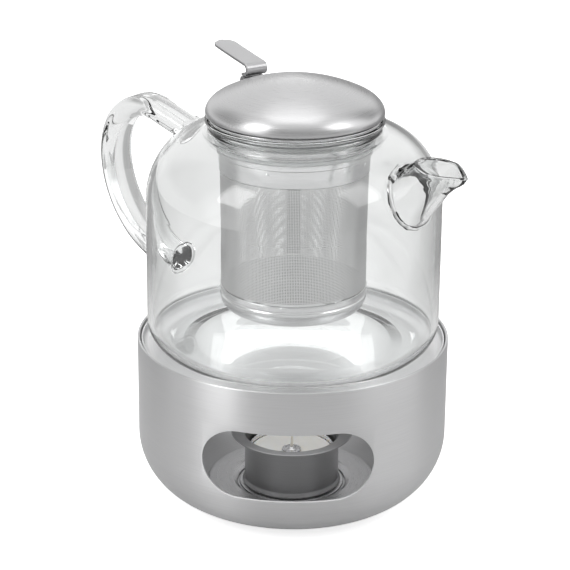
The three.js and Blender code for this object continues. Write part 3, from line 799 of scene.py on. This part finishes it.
def base_cap():
    r = BASKET_R
    rolled_top = arc(r - 0.35, 101.2, 0.35, 0.2, 0, 180, 6)
    inner_bowl = arc(26.8, 96.8, 5.3, 5.4, 0, -72, 12)
    foot = rounded([(25.6, 91.4), (22.6, 91.5, 0.6), (22, 90.8, 0.5), (22.6, 90.25, 0.4), (25.0, 90.3)])
    outer_bowl = arc(26.8, 96.8, 6.0, 6.4, -82, 0, 14)
    groove = [(r, 97.6), (r - 0.25, 98.0), (r - 0.25, 98.6), (r, 99.0)]
    outline = [(r, 101.2), *rolled_top, *inner_bowl, *foot, *outer_bowl, *groove]
    cap = turned("base_cap", outline, BASKET_STEEL, 200, loop=True)
    for degrees in CAP_DOTS:
        boolean(cap, spot_weld(degrees, CAP_DOT_Z), "UNION")
    shade(cap)
    settle(cap, "infuser", "brushed_steel", "infuser_base_cap")


def hinge():
    """The CAD's own bracket, pin and knuckle, in the lever's steel."""
    for name in ("hinge_bracket", "hinge_pin", "lid_knuckle"):
        cad = frame["nodes"][name]
        cad.data.materials.clear()
        cad.data.materials.append(LEVER_STEEL)


# ---- lid -----------------------------------------------------------------------------------
def crown(r):
    return LID_CROWN - LID_BEND + math.sqrt(LID_BEND ** 2 - r ** 2)


def notch(rho, half=6.0):
    """The slot that the lid's hinge needs, from this radius out."""
    inner, outer, side = rho * MM, 0.06, half * MM
    mesh = prism("notch", [(inner, -side), (outer, -side), (outer, side), (inner, side)], 0.17, 0.2)
    mesh.transform(turned_frame(HINGE_ANGLE))
    return mesh


def lid_dome():
    reach, rise, edge_z, end = LID_EDGE_REACH, LID_EDGE_RISE, LID_EDGE_Z, LID_EDGE_END
    middle = LID_R - reach
    profile = [(x, crown(x) - 1) for x in np.linspace(0, 31, 14)]
    profile += arc(middle, edge_z, reach - 1, rise - 1, end, 0, 14)
    profile += rounded([(LID_R - 1, edge_z), (LID_R - 1, LID_RIM, 0.2), (LID_R - 0.1, LID_RIM, 0.2),
                        (LID_R, edge_z)], 4)[1:]
    profile += arc(middle, edge_z, reach, rise, 0, end, 22)[1:]
    profile += [(x, crown(x)) for x in np.linspace(32, 0, 22)]
    made = turned("lid_dome", profile, LID_STEEL, 256)
    boolean(made, notch(LID_NOTCH), "DIFFERENCE")
    bevelled(made, 0.2)
    settle(made, "lid", "brushed_steel", "lid_shell")


def lid_liner():
    r, low, top = LINER_R, LINER_LOW, LINER_TOP
    outline = rounded([(0, low), (r, low, 0.1), (r, top, 0.1), (0, top)])
    made = turned("lid_under_plate", outline, INNER_STEEL, 160)
    boolean(made, notch(LINER_NOTCH), "DIFFERENCE")
    shade(made)
    settle(made, "lid", "brushed_steel", "lid_liner")


def thumb_lever():
    """A strip folded back over the hinge, with a round tip."""
    fold = arc(*LEVER_FOLD, LEVER_FOLD_R, LEVER_FOLD_R, 270, 90, 14)
    line = [np.array(p, float) for p in smooth_line([LEVER_FOOT, *fold, *LEVER_TONGUE], 3)]
    run = np.concatenate([[0], np.cumsum([np.linalg.norm(b - a) for a, b in zip(line, line[1:])])])
    tip = LEVER_WIDTH / 2
    rings = []
    for i, (point, s) in enumerate(zip(line, run)):
        ahead, behind = line[min(i + 1, len(line) - 1)], line[max(i - 1, 0)]
        direction = (ahead - behind) / np.linalg.norm(ahead - behind)
        skin = np.array([-direction[1], direction[0]]) * LEVER_THICK / 2
        beyond = max(0.0, s - (run[-1] - tip))
        half = math.sqrt(max(tip ** 2 - beyond ** 2, 0.4))
        ring = [(point + skin, half * t) for t in np.linspace(-1, 1, 13)]
        ring += [(point - skin, half * t) for t in np.linspace(1, -1, 13)]
        rings.append([(p[0] * MM, y * MM, p[1] * MM) for p, y in ring])
    mesh = loft_mesh("lever", rings)
    mesh.transform(turned_frame(HINGE_ANGLE))
    made = make_object("lever_strip", mesh, LEVER_STEEL)
    bevelled(made, 0.22, 2, 50)
    settle(made, "lid", "brushed_steel", "thumb_lever")


# ---- stage ---------------------------------------------------------------------------------
def floor():
    """A white table top, a little darker in reflections, with two patches of painted flag shade that the
    camera doesn't see.
    """
    mesh = prism("floor", [(-3, -3), (3, -3), (3, 3), (-3, 3)], -0.02, 0.0)
    material, tree, output = new_material("studio_floor")
    path = tree.nodes.new("ShaderNodeLightPath")
    shader = principled(tree, output, Roughness=0.8, Specular_IOR_Level=0.0)
    mirrored = math_node(tree, "MULTIPLY", path.outputs["Is Glossy Ray"], FLOOR_WHITE - FLOOR_MIRRORED)
    white = math_node(tree, "SUBTRACT", FLOOR_WHITE, mirrored)
    # Left and right behind the pot the floor has painted shade, darker to every ray but the camera's, as
    # black flags would make it:
    # it draws the dark edge lines in the glass.
    angle, radius, _ = polar(tree)
    behind = math_node(tree, "SUBTRACT", angle, CAMERA_AZIMUTH + math.pi / 2)
    aside = math_node(tree, "ABSOLUTE", math_node(tree, "ARCTAN2", math_node(tree, "SINE", behind),
                                                  math_node(tree, "COSINE", behind)))
    near_side = map_range(tree, aside, *[math.radians(degrees) for degrees in FLAG_NEAR], 0.0, 1.0)
    far_side = map_range(tree, aside, *[math.radians(degrees) for degrees in FLAG_FAR], 1.0, 0.0)
    away = map_range(tree, radius, *FLAG_REACH, 0.0, FLAG_SHADE_DEPTH)
    unseen = math_node(tree, "SUBTRACT", 1.0, path.outputs["Is Camera Ray"])
    # Painted shade standing in for two black flags, seen only in reflections and through glass.
    painted_flag_shade = math_node(tree, "MULTIPLY", math_node(tree, "MULTIPLY", near_side, far_side),
                      math_node(tree, "MULTIPLY", away, unseen))
    level = math_node(tree, "MULTIPLY", white, math_node(tree, "SUBTRACT", 1.0, painted_flag_shade))
    tree.links.new(level, shader.inputs["Base Color"])
    shader.inputs["Emission Color"].default_value = (1, 1, 1, 1)
    glow = math_node(tree, "MULTIPLY", path.outputs["Is Camera Ray"], FLOOR_GLOW)
    through = math_node(tree, "MULTIPLY", path.outputs["Is Transmission Ray"], FLOOR_THROUGH)
    tree.links.new(math_node(tree, "ADD", glow, through), shader.inputs["Emission Strength"])
    make_object("studio_floor", mesh, material)


def grey_ramp(tree, value, stops):
    """A ramp of grey levels over (degrees from the camera's side, level) stops, for a value from 0 to 1."""
    ramp = tree.nodes.new("ShaderNodeValToRGB")
    elements = ramp.color_ramp.elements
    while len(elements) < len(stops):
        elements.new(0.5)
    for element, (degrees, level) in zip(elements, stops):
        element.position = degrees / 360 + 0.5
        element.color = (level, level, level, 1)
    tree.links.new(value, ramp.inputs[0])
    return ramp.outputs[0]


def blend(tree, factor, a, b):
    mix = tree.nodes.new("ShaderNodeMix")
    mix.data_type = "RGBA"
    tree.links.new(factor, mix.inputs["Factor"])
    for socket, value in ((mix.inputs["A"], a), (mix.inputs["B"], b)):
        if isinstance(value, float):
            socket.default_value = (value, value, value, 1)
        else:
            tree.links.new(value, socket)
    return mix.outputs["Result"]


def world():
    """A studio by direction: softboxes left and right, a grey camera side and a pale backdrop."""
    scene = bpy.context.scene
    scene.world = bpy.data.worlds.new("studio")
    scene.world.use_nodes = True
    tree = scene.world.node_tree
    tree.nodes.clear()
    output = tree.nodes.new("ShaderNodeOutputWorld")
    coordinates = tree.nodes.new("ShaderNodeTexCoord")
    turn = node(tree, "ShaderNodeMapping", Rotation=(0, 0, math.pi / 2 - CAMERA_AZIMUTH))
    tree.links.new(coordinates.outputs["Generated"], turn.inputs["Vector"])
    xyz = tree.nodes.new("ShaderNodeSeparateXYZ")
    tree.links.new(turn.outputs[0], xyz.inputs[0])
    around = math_node(tree, "ARCTAN2", xyz.outputs[1], xyz.outputs[0])
    share = math_node(tree, "ADD", math_node(tree, "DIVIDE", around, 2 * math.pi), 0.5)
    low = grey_ramp(tree, share, LOW_WALL)
    middle = grey_ramp(tree, share, MIDDLE_WALL)
    height = xyz.outputs[2]
    wall = blend(tree, map_range(tree, height, *LOW_WALL_END, 0.0, 1.0), low, middle)
    studio_level = blend(tree, map_range(tree, height, *MIDDLE_WALL_END, 0.0, 1.0), wall, CEILING)
    studio = node(tree, "ShaderNodeBackground", Strength=WORLD_STRENGTH)
    tree.links.new(studio_level, studio.inputs["Color"])
    plain = node(tree, "ShaderNodeBackground", Color=(1, 1, 1, 1), Strength=1.0)
    path = tree.nodes.new("ShaderNodeLightPath")
    mixed(tree, output, path.outputs["Is Camera Ray"], studio, plain)


def away_from_axis(turn, lift):
    """The direction at this angle round from -Y towards +X, and this far up."""
    return Vector((math.sin(turn) * math.cos(lift), -math.cos(turn) * math.cos(lift), math.sin(lift)))


def softbox(name, size, power):
    data = bpy.data.lights.new(name, "AREA")
    data.shape, data.size, data.size_y, data.energy = "RECTANGLE", size[0], size[1], power
    made = bpy.data.objects.new(name, data)
    bpy.context.scene.collection.objects.link(made)
    return made


def lights():
    for name, height, size, power in HIDDEN_LAMPS:
        lamp = softbox(name, size, power)
        lamp.location = (0, 0, height)
        lamp.rotation_euler = (0, 0, CAMERA_AZIMUTH)
    for name, azimuth, elevation, distance, size, power in SOFTBOXES:
        back = away_from_axis(CAMERA_AZIMUTH + math.radians(azimuth), math.radians(elevation))
        lamp = softbox(name, size, power)
        lamp.location = Vector((0, 0, SOFTBOX_TARGET_Z)) + back * distance
        lamp.rotation_euler = back.to_track_quat("Z", "Y").to_euler()


def camera():
    back = away_from_axis(CAMERA_AZIMUTH, CAMERA_ELEVATION)
    right = Vector((math.cos(CAMERA_AZIMUTH), math.sin(CAMERA_AZIMUTH), 0))
    up = back.cross(right)
    forward = (-back - right * CAMERA_LEFT + up * CAMERA_UP).normalized()
    data = bpy.data.cameras.new("camera")
    data.sensor_width, data.lens = CAMERA_SENSOR, CAMERA_LENS
    data.clip_start, data.clip_end = 0.05, 50
    made = bpy.data.objects.new("camera", data)
    bpy.context.scene.collection.objects.link(made)
    side = forward.cross(Vector((0, 0, 1))).normalized()
    top = side.cross(forward)
    rolled_side = side * math.cos(CAMERA_ROLL) + top * math.sin(CAMERA_ROLL)
    rolled_top = top * math.cos(CAMERA_ROLL) - side * math.sin(CAMERA_ROLL)
    place = Matrix((rolled_side, rolled_top, -forward)).transposed().to_4x4()
    target = Vector((0, 0, CAMERA_TARGET_Z))
    made.matrix_world = Matrix.Translation(target + back * CAMERA_DISTANCE) @ place
    bpy.context.scene.camera = made
    bpy.context.scene.view_settings.view_transform = "Standard"


camera()
world()
lights()
floor()
warmer_shell()
base_plate()
heat_plate()
floor_tray()
foot_pad()
tealight_holder()
tealight()
wick()
glass_pot()
infuser_collar()
seal_ribs()
top_band()
wire_cloth()
wall_seam()
base_cap()
hinge()
lid_dome()
lid_liner()
thumb_lever()

bpy.context.view_layer.update()
